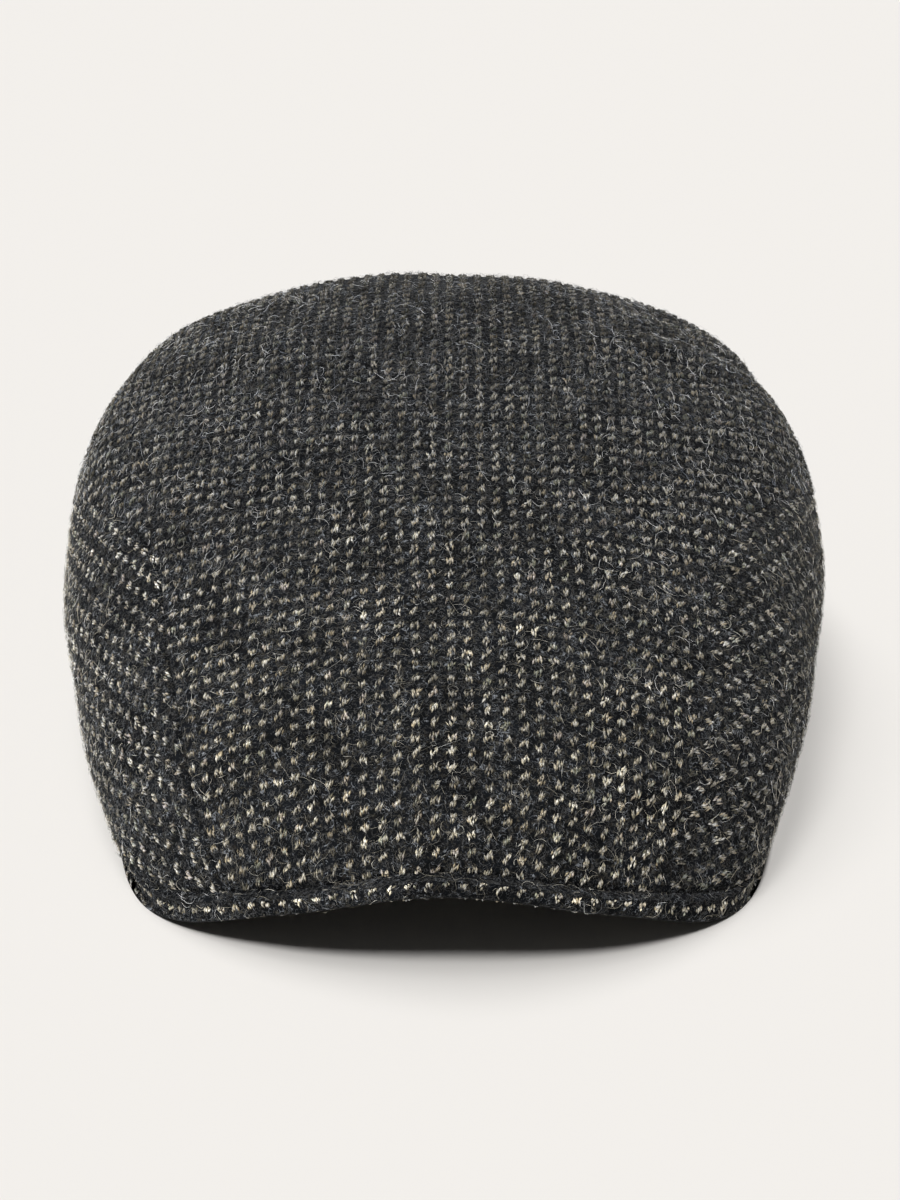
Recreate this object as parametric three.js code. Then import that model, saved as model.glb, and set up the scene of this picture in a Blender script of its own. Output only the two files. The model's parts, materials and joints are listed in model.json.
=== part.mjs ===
// Flat cap in wool tweed: a crown of three sewn panels over a stiffened peak.
// Millimetres, +Z up, the peak points to -Y, so +X is the wearer's left.
import * as THREE from "three";

// Cloth
const CLOTH = 1.8; // crown wall, tweed with its backing
const HEM = 3.0; // lower edge, where the cloth is turned up inside
const HEM_HEIGHT = 12; // how far up the turned edge reaches
const SEAM_GAP = 0.7; // clear space between two panels, measured along the section
const SEAM_DIP = 0.9; // how deep a panel rolls in at its seam
const SEAM_ROLL = 3.2; // width of that roll
const SEAM_SKEW = 0.022; // how much lower the seam sits on the wearer's right, as a share of a section
const SEAM_FADE = 0.06; // share of the length, from the peak, in which the roll comes in
const HEM_FADE = { from: 0.1, to: 0.25 }; // likewise for the turned edge, behind the end of the peak
const WALL_SWELL = 0.2; // how far the wall bulges below its widest point, as a share of its tuck

// Peak
const PEAK_THICKNESS = 3.2; // board and both covers
const PEAK_TIP_THICKNESS = 2.6; // where it runs out at the temples
const PEAK_CLEARANCE = 0.4; // between the crown's edge and the peak
const PEAK_REACH = 0.97; // how far along the crown's front edge the peak runs

// Mesh
const ALONG = 36; // steps from the peak to the back
const ACROSS_TOP = 24; // steps over the top, seam to seam
const ACROSS_SIDE = 10; // steps from the seam down to the lower edge
const PEAK_STEPS = 44; // steps along the peak's edge
const TOP_WIDTH = 150; // usual width of the top panel, for the share that its rolls take
const SIDE_WIDTH = 70; // usual width of a side panel, likewise

const TWEED = 0x3b3b3a;

const lerp = (a, b, f) => a + (b - a) * f;
const { degToRad, smoothstep } = THREE.MathUtils;

function table(names, ...rows) {
  return rows.map((row) => Object.fromEntries(names.map((name, k) => [name, row[k]])));
}

// The crown from front to back. Each row is a section that starts at the centre line (top), falls to
// its widest point (wide) and tucks in to the lower edge (rim). arch is the power of the fall: 1 is
// an ellipse, less is boxy, more is bell shaped; sweep is the same for the way it runs back on the
// plan. seam is where the side seam crosses, from 0 at the top to 1 at the rim.
const SECTIONS = table(
  ["topY", "topZ", "wideX", "wideY", "wideZ", "rimX", "rimY", "rimZ", "arch", "sweep", "seam"],
  [-129.3, 24.5, 73.5, -89, 4.4, 80, -30, 3.6, 4.2, 1, 0.264],
  [-111, 43, 84.5, -76, 16.5, 80.5, -18, 1.6, 1.8, 1, 0.282],
  [-80, 60, 91.3, -54, 28, 81.5, -5, 0, 1.15, 1, 0.296],
  [-42, 75.5, 96.3, -24, 37, 82, 8, 0, 0.95, 1, 0.318],
  [0, 87, 99.3, 8, 41, 82, 22, 0, 0.85, 1, 0.5],
  [42, 91.7, 98, 40, 42, 81.5, 38, 0, 0.78, 1.05, 0.63],
  [82, 88, 90, 71, 40, 79.5, 56, 0, 0.78, 1.15, 0.69],
  [112, 73, 79, 92, 34, 75.5, 70, 0, 0.82, 1.3, 0.74],
  [130, 47, 70, 100, 23, 71, 81, 0, 0.95, 1.5, 0.79],
  [134.8, 22, 64, 102, 11, 67, 88, 0, 1, 1.7, 0.81],
  [130, 0, 58, 100, 0, 63.5, 93, 0, 1, 1.8, 0.8],
);

// The peak from its outer edge to the edge at the forehead, in the same kind of rows. The second one
// runs just under the front edge of the crown.
const [CROWN_FRONT] = SECTIONS;
const [PEAK_EDGE, PEAK_MIDDLE, PEAK_FOREHEAD] = table(
  ["topY", "topZ", "wideX", "wideY", "wideZ", "rimX", "rimY", "rimZ", "arch", "sweep"],
  [-134, 24, 76, -92.5, 3.8, 81, -31, 3.1, 4.1, 1],
  [-104, 27.5, 70, -66, 5, 77.5, -28, 3.1, 3.4, 1.2],
  [-76, 31, 64, -42, 6.5, 74, -24, 3.1, 2.6, 1.5],
);
const UNDER_CROWN = {
  ...CROWN_FRONT,
  topZ: CROWN_FRONT.topZ - PEAK_CLEARANCE,
  wideZ: CROWN_FRONT.wideZ - PEAK_CLEARANCE,
  rimZ: CROWN_FRONT.rimZ - PEAK_CLEARANCE,
};
const PEAK_ROWS = [PEAK_EDGE, UNDER_CROWN, PEAK_MIDDLE, PEAK_FOREHEAD];

// Soft dents and folds: place on the plan, half lengths along and across, turn in degrees, depth.
const FOLDS = table(
  ["x", "y", "along", "across", "turn", "depth"],
  [60, 66, 34, 11, -40, 2.4], // slack of the cloth on the wearer's left shoulder
  [0, 112, 46, 4, 90, 1.1], // dart at the centre of the back
);

// A smooth curve through equally spaced values, u counted in steps from the first one.
function spline(values, u) {
  const last = values.length - 1;
  const i = Math.min(Math.max(Math.floor(u), 0), last - 1);
  const f = u - i;
  const at = (k) => {
    if (k < 0) return 2 * values[0] - values[1];
    return k > last ? 2 * values[last] - values[last - 1] : values[k];
  };
  const [a, b, c, d] = [at(i - 1), at(i), at(i + 1), at(i + 2)];
  return b + 0.5 * f * (c - a + f * (2 * a - 5 * b + 4 * c - d + f * (3 * (b - c) + d - a)));
}

// The columns of a table at a place between its rows, s running from 0 at the first to 1 at the last.
function rowAt(rows, s) {
  const names = Object.keys(rows[rows.length - 1]);
  const place = s * (rows.length - 1);
  return Object.fromEntries(names.map((name) => [name, spline(rows.map((row) => row[name]), place)]));
}

// A point on a section, t running from -1 to 1: the arch from top to wide, then the wall to the rim.
function sectionPoint(row, t) {
  const knots = [0, 30, 60, 90].map((degrees) => {
    const turn = degToRad(degrees);
    const rise = Math.max(Math.cos(turn), 0);
    return [
      row.wideX * Math.sin(turn),
      lerp(row.wideY, row.topY, rise ** row.sweep),
      lerp(row.wideZ, row.topZ, rise ** row.arch),
    ];
  });
  const swell = WALL_SWELL * Math.abs(row.wideX - row.rimX);
  knots.push([
    lerp(row.wideX, row.rimX, 0.5) + swell,
    lerp(row.wideY, row.rimY, 0.5),
    lerp(row.wideZ, row.rimZ, 0.5),
  ]);
  knots.push([row.rimX, row.rimY, row.rimZ]);
  const mirrored = knots.slice(1).reverse().map(([x, y, z]) => [-x, y, z]);
  const all = [...mirrored, ...knots];
  const u = (t + 1) * (knots.length - 1);
  const [x, y, z] = [0, 1, 2].map((axis) => spline(all.map((knot) => knot[axis]), u));
  return new THREE.Vector3(x, y, Math.max(z, 0));
}

const crownPoint = (s, t) => sectionPoint(rowAt(SECTIONS, s), t);

// The direction into the head from a point of the crown.
function inward(s, t) {
  const step = 1e-3;
  const alongS = crownPoint(Math.min(s + step, 1), t).sub(crownPoint(Math.max(s - step, 0), t));
  const alongT = crownPoint(s, Math.min(t + step, 1)).sub(crownPoint(s, Math.max(t - step, -1)));
  return alongS.cross(alongT).normalize();
}

// The direction in which the peak runs back under the crown's front edge.
function alongPeak(t) {
  const step = 0.02;
  const start = 1 / (PEAK_ROWS.length - 1);
  const ahead = sectionPoint(rowAt(PEAK_ROWS, start + step), t);
  return ahead.sub(sectionPoint(UNDER_CROWN, t)).normalize();
}

// The direction from the outer face of the wall to its inner face: level at the lower edge, along the
// peak at the front edge.
function wallDirection(s, t) {
  if (s === 0) return alongPeak(t);
  const into = inward(s, t);
  return s === 1 || Math.abs(t) === 1 ? into.setZ(0).normalize() : into;
}

// How far a point is pushed in by the soft folds.
function foldDepth(p) {
  return FOLDS.reduce((sum, fold) => {
    const turn = degToRad(fold.turn);
    const dx = p.x - fold.x;
    const dy = p.y - fold.y;
    const a = (dx * Math.cos(turn) + dy * Math.sin(turn)) / fold.along;
    const b = (dy * Math.cos(turn) - dx * Math.sin(turn)) / fold.across;
    return sum + fold.depth * Math.exp(-a * a - b * b);
  }, 0);
}

// Where a side seam crosses a section, side being 1 on the wearer's left and -1 on the right.
function seamAt(s, side) {
  const skew = side < 0 ? SEAM_SKEW * 4 * s * (1 - s) : 0;
  return rowAt(SECTIONS, s).seam + skew;
}

// Half the seam gap as a step along the section.
function gapAt(s, side) {
  const t = seamAt(s, side);
  const step = 1e-3;
  return (SEAM_GAP / 2) * (step / crownPoint(s, t).distanceTo(crownPoint(s, t + step)));
}

// Steps from 0 to 1 with a narrow one at each end that is sewn, for the roll of the cloth there.
function steps(count, width, sewnStart, sewnEnd) {
  const from = sewnStart ? SEAM_ROLL / width : 0;
  const to = sewnEnd ? 1 - SEAM_ROLL / width : 1;
  const list = Array.from({ length: count + 1 }, (_, i) => lerp(from, to, i / count));
  return [...(sewnStart ? [0] : []), ...list, ...(sewnEnd ? [1] : [])];
}

function meshFrom(points, index) {
  const geometry = new THREE.BufferGeometry();
  geometry.setAttribute("position", new THREE.Float32BufferAttribute(points.flatMap((p) => p.toArray()), 3));
  geometry.setIndex(index);
  geometry.computeVertexNormals();
  return geometry;
}

// A closed shell from two grids of points of one size: outer face, inner face and the four edges.
function shell(outer, inner) {
  const rows = outer.length;
  const columns = outer[0].length;
  const out = (i, j) => i * columns + j;
  const into = (i, j) => rows * columns + out(i, j);
  const index = [];
  const quad = (a, b, c, d) => index.push(a, b, c, a, c, d);
  for (let i = 0; i < rows - 1; i += 1) {
    for (let j = 0; j < columns - 1; j += 1) {
      quad(out(i, j), out(i, j + 1), out(i + 1, j + 1), out(i + 1, j));
      quad(into(i, j), into(i + 1, j), into(i + 1, j + 1), into(i, j + 1));
    }
    quad(out(i, 0), out(i + 1, 0), into(i + 1, 0), into(i, 0));
    const end = columns - 1;
    quad(out(i + 1, end), out(i, end), into(i, end), into(i + 1, end));
  }
  for (let j = 0; j < columns - 1; j += 1) {
    const end = rows - 1;
    quad(out(0, j + 1), out(0, j), into(0, j), into(0, j + 1));
    quad(out(end, j), out(end, j + 1), into(end, j + 1), into(end, j));
  }
  return meshFrom([...outer.flat(), ...inner.flat()], index);
}

// One panel of the crown. place(s, f) turns the fraction f across the panel into a place on the
// section; sewn tells which ends of f meet another panel.
function panel(place, count, width, sewn) {
  const across = steps(count, width, sewn.start, sewn.end);
  const along = steps(ALONG, 1, false, false);
  const outer = [];
  const inner = [];
  along.forEach((s) => {
    const outerLine = [];
    const innerLine = [];
    across.forEach((f) => {
      const t = place(s, f);
      const p = crownPoint(s, t);
      const onSeam = (sewn.start && f === 0) || (sewn.end && f === 1);
      const roll = onSeam ? SEAM_DIP * smoothstep(s, 0, SEAM_FADE) : 0;
      const low = smoothstep(HEM_HEIGHT - p.z, 0, HEM_HEIGHT / 2);
      const hem = low * smoothstep(s, HEM_FADE.from, HEM_FADE.to);
      const way = wallDirection(s, t);
      p.addScaledVector(way, foldDepth(p) + roll);
      outerLine.push(p);
      innerLine.push(p.clone().addScaledVector(way, lerp(CLOTH, HEM, hem)));
    });
    outer.push(outerLine);
    inner.push(innerLine);
  });
  return shell(outer, inner);
}

function topPanel() {
  const edge = (s, side) => side * (seamAt(s, side) - gapAt(s, side));
  const place = (s, f) => lerp(edge(s, -1), edge(s, 1), f);
  return panel(place, ACROSS_TOP, TOP_WIDTH, { start: true, end: true });
}

function sidePanel(side) {
  const edge = (s) => side * (seamAt(s, side) + gapAt(s, side));
  const place = (s, f) => (side > 0 ? lerp(edge(s), 1, f) : lerp(-1, edge(s), f));
  return panel(place, ACROSS_SIDE, SIDE_WIDTH, { start: side > 0, end: side < 0 });
}

// The peak: a flat loop with a round nose, carried along its edge from temple to temple. depth runs
// from the edge to the forehead, drop from the upper face to the lower one.
function peak() {
  const upper = table(
    ["depth", "drop"],
    [1, 0],
    [0.83, 0],
    [0.66, 0],
    [0.5, 0],
    [0.34, 0],
    [0.2, 0],
    [0.09, 0],
    [0.025, 0.16],
  );
  const nose = { depth: 0, drop: 0.5 };
  const lower = upper.map(({ depth, drop }) => ({ depth, drop: 1 - drop })).reverse();
  const loop = [...upper, nose, ...lower];
  const rings = [];
  for (let i = 0; i <= PEAK_STEPS; i += 1) {
    const t = lerp(-PEAK_REACH, PEAK_REACH, i / PEAK_STEPS);
    const thickness = lerp(PEAK_THICKNESS, PEAK_TIP_THICKNESS, Math.abs(t) ** 3);
    rings.push(loop.map(({ depth, drop }) => {
      const p = sectionPoint(rowAt(PEAK_ROWS, depth), t);
      return p.setZ(Math.max(p.z - drop * thickness, 0));
    }));
  }
  return lofted(rings);
}

// A closed body through rings of points, with a flat fan over each end.
function lofted(rings) {
  const count = rings[0].length;
  const index = [];
  for (let i = 0; i < rings.length - 1; i += 1) {
    for (let j = 0; j < count; j += 1) {
      const k = (j + 1) % count;
      const [a, b, c, d] = [i * count + j, i * count + k, (i + 1) * count + k, (i + 1) * count + j];
      index.push(a, b, c, a, c, d);
    }
  }
  const last = (rings.length - 1) * count;
  for (let j = 1; j < count - 1; j += 1) {
    index.push(0, j + 1, j);
    index.push(last, last + j, last + j + 1);
  }
  return meshFrom(rings.flat(), index);
}

function piece(name, geometry) {
  const material = new THREE.MeshStandardMaterial({ color: TWEED, roughness: 1, metalness: 0 });
  const mesh = new THREE.Mesh(geometry, material);
  mesh.name = name;
  return mesh;
}

const cap = new THREE.Group();
cap.name = "flat_cap";
cap.add(piece("top_panel", topPanel()));
cap.add(piece("side_panel_left", sidePanel(1)));
cap.add(piece("side_panel_right", sidePanel(-1)));
cap.add(piece("peak", peak()));

export default cap;
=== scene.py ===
"""Flat cap in wool tweed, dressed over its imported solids.

Three lengths of cloth make the crown and one covers the peak. Each is a surface worked out from the
same sections as the solids, and each is laid flat in numbers first, so that the weave keeps its real
size and runs with the grain wherever the cloth goes. Shapes are in millimetres until a mesh is made.
"""

import functools
import json
import math

import bpy
import numpy as np
from bpy.props import FloatProperty, FloatVectorProperty, PointerProperty
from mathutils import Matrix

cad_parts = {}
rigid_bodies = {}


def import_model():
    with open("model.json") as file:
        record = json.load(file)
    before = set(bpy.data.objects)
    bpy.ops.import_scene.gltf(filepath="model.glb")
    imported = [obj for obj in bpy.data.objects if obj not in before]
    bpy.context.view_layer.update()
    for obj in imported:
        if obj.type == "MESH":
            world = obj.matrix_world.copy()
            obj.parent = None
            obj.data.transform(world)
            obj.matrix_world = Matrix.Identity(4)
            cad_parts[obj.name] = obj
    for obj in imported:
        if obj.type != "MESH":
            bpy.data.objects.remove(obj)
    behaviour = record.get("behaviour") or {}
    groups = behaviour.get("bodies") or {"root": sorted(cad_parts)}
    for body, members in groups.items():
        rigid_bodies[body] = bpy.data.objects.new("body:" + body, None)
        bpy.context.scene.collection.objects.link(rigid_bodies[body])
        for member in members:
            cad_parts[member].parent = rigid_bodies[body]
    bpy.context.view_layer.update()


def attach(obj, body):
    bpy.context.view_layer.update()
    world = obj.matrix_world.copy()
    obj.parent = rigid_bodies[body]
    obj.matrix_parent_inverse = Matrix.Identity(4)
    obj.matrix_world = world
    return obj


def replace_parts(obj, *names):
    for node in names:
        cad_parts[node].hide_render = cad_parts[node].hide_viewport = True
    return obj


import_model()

bl_info = {
    "name": "Flat cap in wool tweed",
    "version": (1, 0, 0),
    "blender": (4, 5, 0),
    "location": "View3D > Sidebar > Flat cap",
    "description": "Sews the crown, covers the peak, weaves the flecks and brushes up the nap",
    "category": "Add Mesh",
}

MM = 0.001

# Crown sections from the peak to the back. Each row is one line of cloth from rim to rim over the top:
# its middle (top y, z), its widest place (x, y, z), its foot on the rim (x, y, z), how round it arches,
# how it sweeps back, and where the side seam crosses it, as a share of the way from middle to rim.
SECTIONS = np.array([
    [-129.3, 24.5, 78.5, -84, 5.4, 80, -30, 3.6, 4.05, 1, 0.264],
    [-111, 43, 83.8, -76, 16.3, 80.5, -18, 1.6, 1.8, 1, 0.282],
    [-80, 60, 89.5, -54, 28.2, 81.5, -5, 0, 1.15, 1, 0.296],
    [-42, 75.5, 95.7, -24, 36.2, 82, 8, 0, 0.95, 1, 0.318],
    [0, 86.9, 98.8, 8, 41.2, 82, 22, 0, 0.86, 1, 0.5],
    [42, 91.6, 98.1, 40, 41.5, 81.5, 38, 0, 0.77, 1.05, 0.63],
    [82, 86.5, 88, 71, 41.3, 79.5, 56, 0, 0.69, 1.15, 0.69],
    [112, 72, 79.3, 92, 35.3, 75.5, 70, 0, 0.71, 1.3, 0.74],
    [130, 47, 70, 100, 23, 71, 81, 0, 0.95, 1.5, 0.79],
    [134.8, 22, 64, 102, 11, 67, 88, 0, 1, 1.7, 0.81],
    [130, 0, 58, 100, 0, 63.5, 93, 0, 1, 1.8, 0.8],
])
RIM_X_COLUMN = 5
SEAM_COLUMN = 10
SHAPE_COLUMNS = 10
LAST_SECTION = len(SECTIONS) - 1

# The peak's rows, from its lip to the forehead, in the same columns. The second lies under the crown's
# front edge.
PEAK_CLEARANCE = np.array([0, 0.4, 1.6, 0, 0.4, 1.2, 0, 0.4, 0, 0])
UNDER_CROWN = SECTIONS[0, :SHAPE_COLUMNS] - PEAK_CLEARANCE
PEAK_ROWS = np.array([
    [-134, 24, 75, -86, 3.8, 81, -31, 3.1, 4.1, 1],
    UNDER_CROWN,
    [-104, 27.5, 70, -66, 5, 77.5, -28, 3.1, 3.4, 1.2],
    [-76, 31, 64, -42, 6.5, 74, -24, 3.1, 2.6, 1.5],
])
PEAK_THICKNESS = 3.2
PEAK_TIP_THICKNESS = 2.6
PEAK_CORNER_DROP = 2.0
LIP_SWELL = 1.0
PEAK_REACH = 0.97
PEAK_SHIFT = 0.8
# How the peak's upper cover runs from under the lip to the forehead: its rounded nose has this depth and
# takes the first share of the cloth, and up to the shown share, at the lip's depth, no crown lies on it.
# Flecks stop in the crease behind the nose and short of the lip's narrow ends.
PEAK_NOSE = 0.09
NOSE_SHARE = 0.2
LIP_SHOWN = 0.7
LIP_DEPTH = 0.42
LIP_CREASE = 0.16
LIP_ENDS = 0.6
PEAK_UPPER_ROWS = 46
PEAK_LOWER_ROWS = 20
# Where the fuller front corners of the peak start and end, from its middle out, where the swell of the
# lip fades, and how much of the swell is lost there.
CORNER_START = (0.18, 0.36)
CORNER_END = (0.75, 0.5)
SWELL_FADE = (0.15, 0.4)
SWELL_LOST = 0.7

ARCH_TURNS = np.radians([[0], [30], [60], [90]])
WALL_SWELL = 0.2
SEAM_SKEW = 0.022
SEAM_GAP = 0.08

# Soft folds in the crown: middle (x, y), half length, half width, turn in degrees and depth.
FOLDS = np.array([
    [60, 66, 34, 9, -40, 1.6],
    [62, 47, 26, 6, 8, 1.7],
    [60, 34, 27, 5, 8, -1.1],
    [0, 112, 46, 5, 90, 0.3],
])
# Slight unevenness of brushed cloth: wave along x, y and z per millimetre, phase and height.
LUMPS = np.array([
    [0.11, 0.07, 0.05, 0.4, 0.22],
    [-0.08, 0.13, 0.06, 2.1, 0.2],
    [0.17, -0.05, 0.12, 4.0, 0.14],
    [0.04, 0.19, -0.09, 5.2, 0.14],
])
# Lighter and darker patches of the brushed cloth, in the same columns.
PATCHES = np.array([
    [0.3, 0.12, 0.05, 0.3, 0.13],
    [-0.1, 0.28, 0.1, 1.9, 0.13],
    [0.19, -0.22, 0.15, 3.1, 0.12],
    [0.42, 0.2, -0.12, 4.4, 0.1],
    [-0.33, 0.35, 0.08, 5.5, 0.1],
    [0.08, 0.16, 0.2, 2.6, 0.14],
])

# How a border of cloth is finished: how deep it rolls in, how far from the border the roll starts and
# how sharply it turns.
SEAM = (0.3, 2.2, 2.0)
FRONT_FOLD = (0.9, 2.4, 2.2)
HEM_FOLD = (0.9, 1.8, 2.6)
PLAIN = (0.0, 1.0, 1.0)
# Between which heights the turned-up hem fades, and how far behind the peak it starts.
HEM_HEIGHT = (12, 6)
HEM_BEHIND = (0.1, 0.25)

PUCKER_LENGTH = 7.6
PUCKER_REACH = 9.0
PUCKER_HEIGHT = 0.12

CLOTH_ROWS = 33
CLOTH_COLUMNS = 17
FLATTEN_ROUNDS = 2000
DIAGONAL_PULL = 0.3
# How a point of the flat cloth is sought on the face: rounds, longest step, margin and largest miss.
FIND_ROUNDS = 7
FIND_STEP = 0.1
FIND_MARGIN = 0.2
FIND_MISS = 0.05
INNER_STEP = 4
GRAIN_TURN = 22
LIP_ROW = 4
LIP_FLECKS = 3.7
PIECE_LIMIT = 185000
BAKE_MARGIN = 0.06
FLOOR_CLEARANCE = 0.2
# How the top panel's weave is eased over the crown: columns draw together away from the middle and
# towards the back, and rows bow back, or forward in front of a place along the grain, within a reach.
EASE = (0.0013, 0.0006, 5e-5, -87, 45)
# Where along a panel brushed yarn starts to stand up and where it stands highest.
RAISED = (0.15, 0.55)
# The slow sway of the weave: its size, its waves' lengths over two pi and their phases.
SWAY = 0.2
SWAY_LENGTHS = (37, 83, 60, 41)
SWAY_PHASES = (0.6, 2.0)
# How much wider than the flat cloth the weave's lattice is laid, before it is eased.
LATTICE_REACH = 1.3
# How far a cell's two strokes lie from its middle, as shares of the pitch across and along the grain,
# and how far to the wearer's right the second share runs out.
STROKE_STEP = (0.1, 0.085)
STEP_FADE = 60
# How unevenly flecks are woven, as usual departures in millimetres: of a cell, of a stroke, of a ply and
# of a ply along its stroke. Leans are in degrees, a stroke's with its usual value first.
CELL_SPREAD = 0.1
STROKE_SPREAD = 0.12
PLY_SPREAD = 0.1
PLY_SLIP = 0.36
STROKE_LEAN = (7, 8)
PLY_LEAN = 15
# The plies of one stroke of a fleck, side by side as shares of its width, how near the middle an inner
# one lies, the share of the width that half a ply has, and the ranges of a ply's length, width and
# height.
PLIES = np.array([-0.36, -0.12, 0.12, 0.36])
INNER_PLIES = 0.2
PLY_WIDTH = 0.32
PLY_LENGTHS = (0.5, 0.9)
PLY_WIDTHS = (0.75, 1.3)
PLY_HEIGHTS = (0.7, 1.3)
# How high a ply's tip, middle and other tip lie over the cloth, as shares of half its thickness.
PLY_RISE = np.array([-0.2, 0.9, -0.2])
# How much warmer and duller the outer plies are, as a factor on their colour.
OUTER_PLY = np.array([1.01, 0.96, 0.82])
# How pale a ply is at its tip, along its top and two edges, and at its other tip.
PLY_SHADES = np.array([0.7, 1.06, 0.85, 0.85, 0.7])
# How bright flecks are from cell to cell and from ply to ply, and inner and outer plies beside that.
CELL_BRIGHT = (0.5, 0.86)
PLY_BRIGHT = (0.75, 1.15)
INNER_BRIGHT = 1.22
OUTER_BRIGHT = 0.92
# How often each colour turns up in flecks, and the share of plies that keep to their cell's colour.
FLECK_SHARES = {"beige": 0.34, "cream": 0.16, "tan": 0.12, "olive": 0.08, "pink": 0.06, "grey": 0.14,
                "umber": 0.1}
OWN_COLOUR = 0.6
# How pale the flecks of each length start, how much of that is lost, and where the loss starts and
# is full, along the top panel or from a side panel's seam to its rim, so that they darken towards the
# back of the top panel and towards a side panel's rim. The left side panel's flecks start darker, as
# painted shade on the side that the lights reach less, and the lip's start lighter, as painted light
# on its front.
FLECK_FADE_AND_PAINTED_LIGHT = {
    "top": (1.0, 0.68, 0.0, 0.6),
    "left": (0.76, 0.38, 0.05, 0.45),
    "right": (1.0, 0.38, 0.05, 0.45),
    "lip": (1.3, 0.0, 0.0, 1.0),
    "under": (1.0, 0.0, 0.0, 1.0),
}
# How wool turns cooler over the top panel: the loss of red, green and blue, where along the panel it is
# full, and the share of it that changes nothing.
COOLER = np.array([0.07, 0, -0.18])
COOLER_FULL = 0.5
COOLER_MIDDLE = 0.35
# The fixed share of that change on the other lengths, and its strength.
FLECK_COOLER = (0.8, 0.6)
LIP_COOLER = (0.1, 0.6)
NAP_COOLER = (0.04, 1.1)
# Two kinds of hair in the nap: usual length, points in a hair's path, curl in radians per millimetre,
# share with one end free, and hairs to a square millimetre of each length of tweed.
FUZZ = (2.5, 4, 1.1, 0.5, {"top": 0.25, "left": 0.9, "right": 0.9, "lip": 0.14, "under": 0.05})
HAIR = (5.0, 6, 0.7, 0.25, {"top": 0.068, "left": 0.06, "right": 0.06, "lip": 0.06, "under": 0.01})
# How often each colour turns up in the first kind and in the second.
NAP_SHARES = {
    "hair_grey": (0.22, 0.06),
    "hair_blue": (0.18, 0.16),
    "hair_mid": (0.06, 0.1),
    "hair_pale": (0.14, 0.3),
    "hair_white": (0.06, 0.2),
    "beige": (0.07, 0.12),
    "hair_olive": (0.14, 0.04),
    "charcoal": (0.13, 0.02),
}
# How hairs vary: the middle and spread of their lengths' logarithm, the limits of a length, the share of
# the curl that drifts, the ranges of their bow and of a free end's height as shares of the nap's, their
# least height, the range of their thickness, how thin they end, and how many sides they have.
HAIR_LENGTHS = (-0.05, 0.4)
HAIR_LIMITS = (0.4, 2.2)
CURL_DRIFT = 0.25
HAIR_BOW = (0.1, 0.5)
FREE_END = (0.3, 1.0)
HAIR_BASE = 0.15
HAIR_WIDTHS = (0.6, 1.3)
HAIR_TAPER = 0.8
HAIR_SIDES = 3
# How far a hair may reach across a seam, as a share of its panel's width.
SEAM_OVERLAP = 0.04
# The share of hairs kept at a side panel's seam, and where from there to the rim all are kept.
SEAM_NAP = 0.35
NAP_FULL = (0.1, 0.4)
# How much lighter the nap is painted at the cap's sides, as painted sheen and side light on the fuzz
# there, where that starts and where it is full, and then the palest that a hair may be.
SIDE_PAINTED_SHEEN = (0.64, 26, 64)
PALEST = 0.8
# Single fibres drawn on the ground cloth and on the flecks: colour, spacing in millimetres, width as a
# share of the noise that draws them, how broken up they are, and which noise.
GROUND_FIBRES = (("hair_grey", 0.9, 0.06, 0.42, 0.0), ("hair_olive", 1.2, 0.06, 0.52, 3.0),
                 ("hair_blue", 1.4, 0.03, 0.5, 7.0))
FLECK_FIBRES = (("charcoal", 1.0, 0.06, 0.5, 11.0), ("hair_pale", 1.6, 0.045, 0.57, 7.0))
SEED = 1907
NAP_SEED = SEED + 50

# The paper floor's sides and the reach of its rings in metres.
FLOOR_SIDES = 64
FLOOR_RINGS = np.array([0.5, 2.0, 8.0])
# The lamps: the angle that each fills, how far it leans to the front and to the cap's right, what it
# lights, and the pieces that alone shade that.
LAMPS = {
    "key": (40, 8, 8, "cap", None),
    "side": (100, 35, 62, "cap", None),
    "paper": (14, 20, 10, "paper", "peak"),
    "shade": (22, 6, 8, "paper", None),
    "corner": (36, -18, 13, "paper", "front"),
    "rim": (60, -35, -65, "cap", None),
}
SHADED_BY = {"peak": ("tweed_peak",), "front": ("tweed_peak", "tweed_side_left")}

IMAGE_HEIGHT = 1200
FOCAL_PIXELS = 2690
SENSOR_WIDTH = 36
CAMERA_PITCH = math.radians(27)
CAMERA_REACH = 0.72
CAMERA_AIM = (0.0016, 0.01065, 0.0209)


def linear(code):
    """Turns an sRGB hex colour into the linear values that shaders take."""
    values = np.array([int(code[i:i + 2], 16) for i in (1, 3, 5)]) / 255
    return tuple(np.where(values <= 0.04045, values / 12.92, ((values + 0.055) / 1.055) ** 2.4))


def unit(vectors):
    """Vectors of the same direction, one long."""
    return vectors / np.maximum(np.linalg.norm(vectors, axis=-1, keepdims=True), 1e-12)


def smoothstep(value, low, high):
    """Rises from 0 at low to 1 at high with no corner."""
    f = np.clip((value - low) / (high - low), 0, 1)
    return f * f * (3 - 2 * f)


def spline(table, place):
    """A smooth curve through evenly spaced rows, straight beyond the ends: each piece is the cubic whose
    slope at a row is half the step between its neighbours. A table of three dimensions has one curve
    for each place."""
    padded = np.concatenate([2 * table[:1] - table[1:2], table, 2 * table[-1:] - table[-2:-1]])
    step = np.clip(np.floor(place).astype(int), 0, len(table) - 2)
    f = (place - step)[:, None]
    own = (np.arange(len(place)),) if table.ndim == 3 else ()
    a, b, c, d = (padded[(step + k, *own)] for k in range(4))
    return b + 0.5 * f * (c - a + f * (2 * a - 5 * b + 4 * c - d + f * (3 * (b - c) + d - a)))


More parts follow.
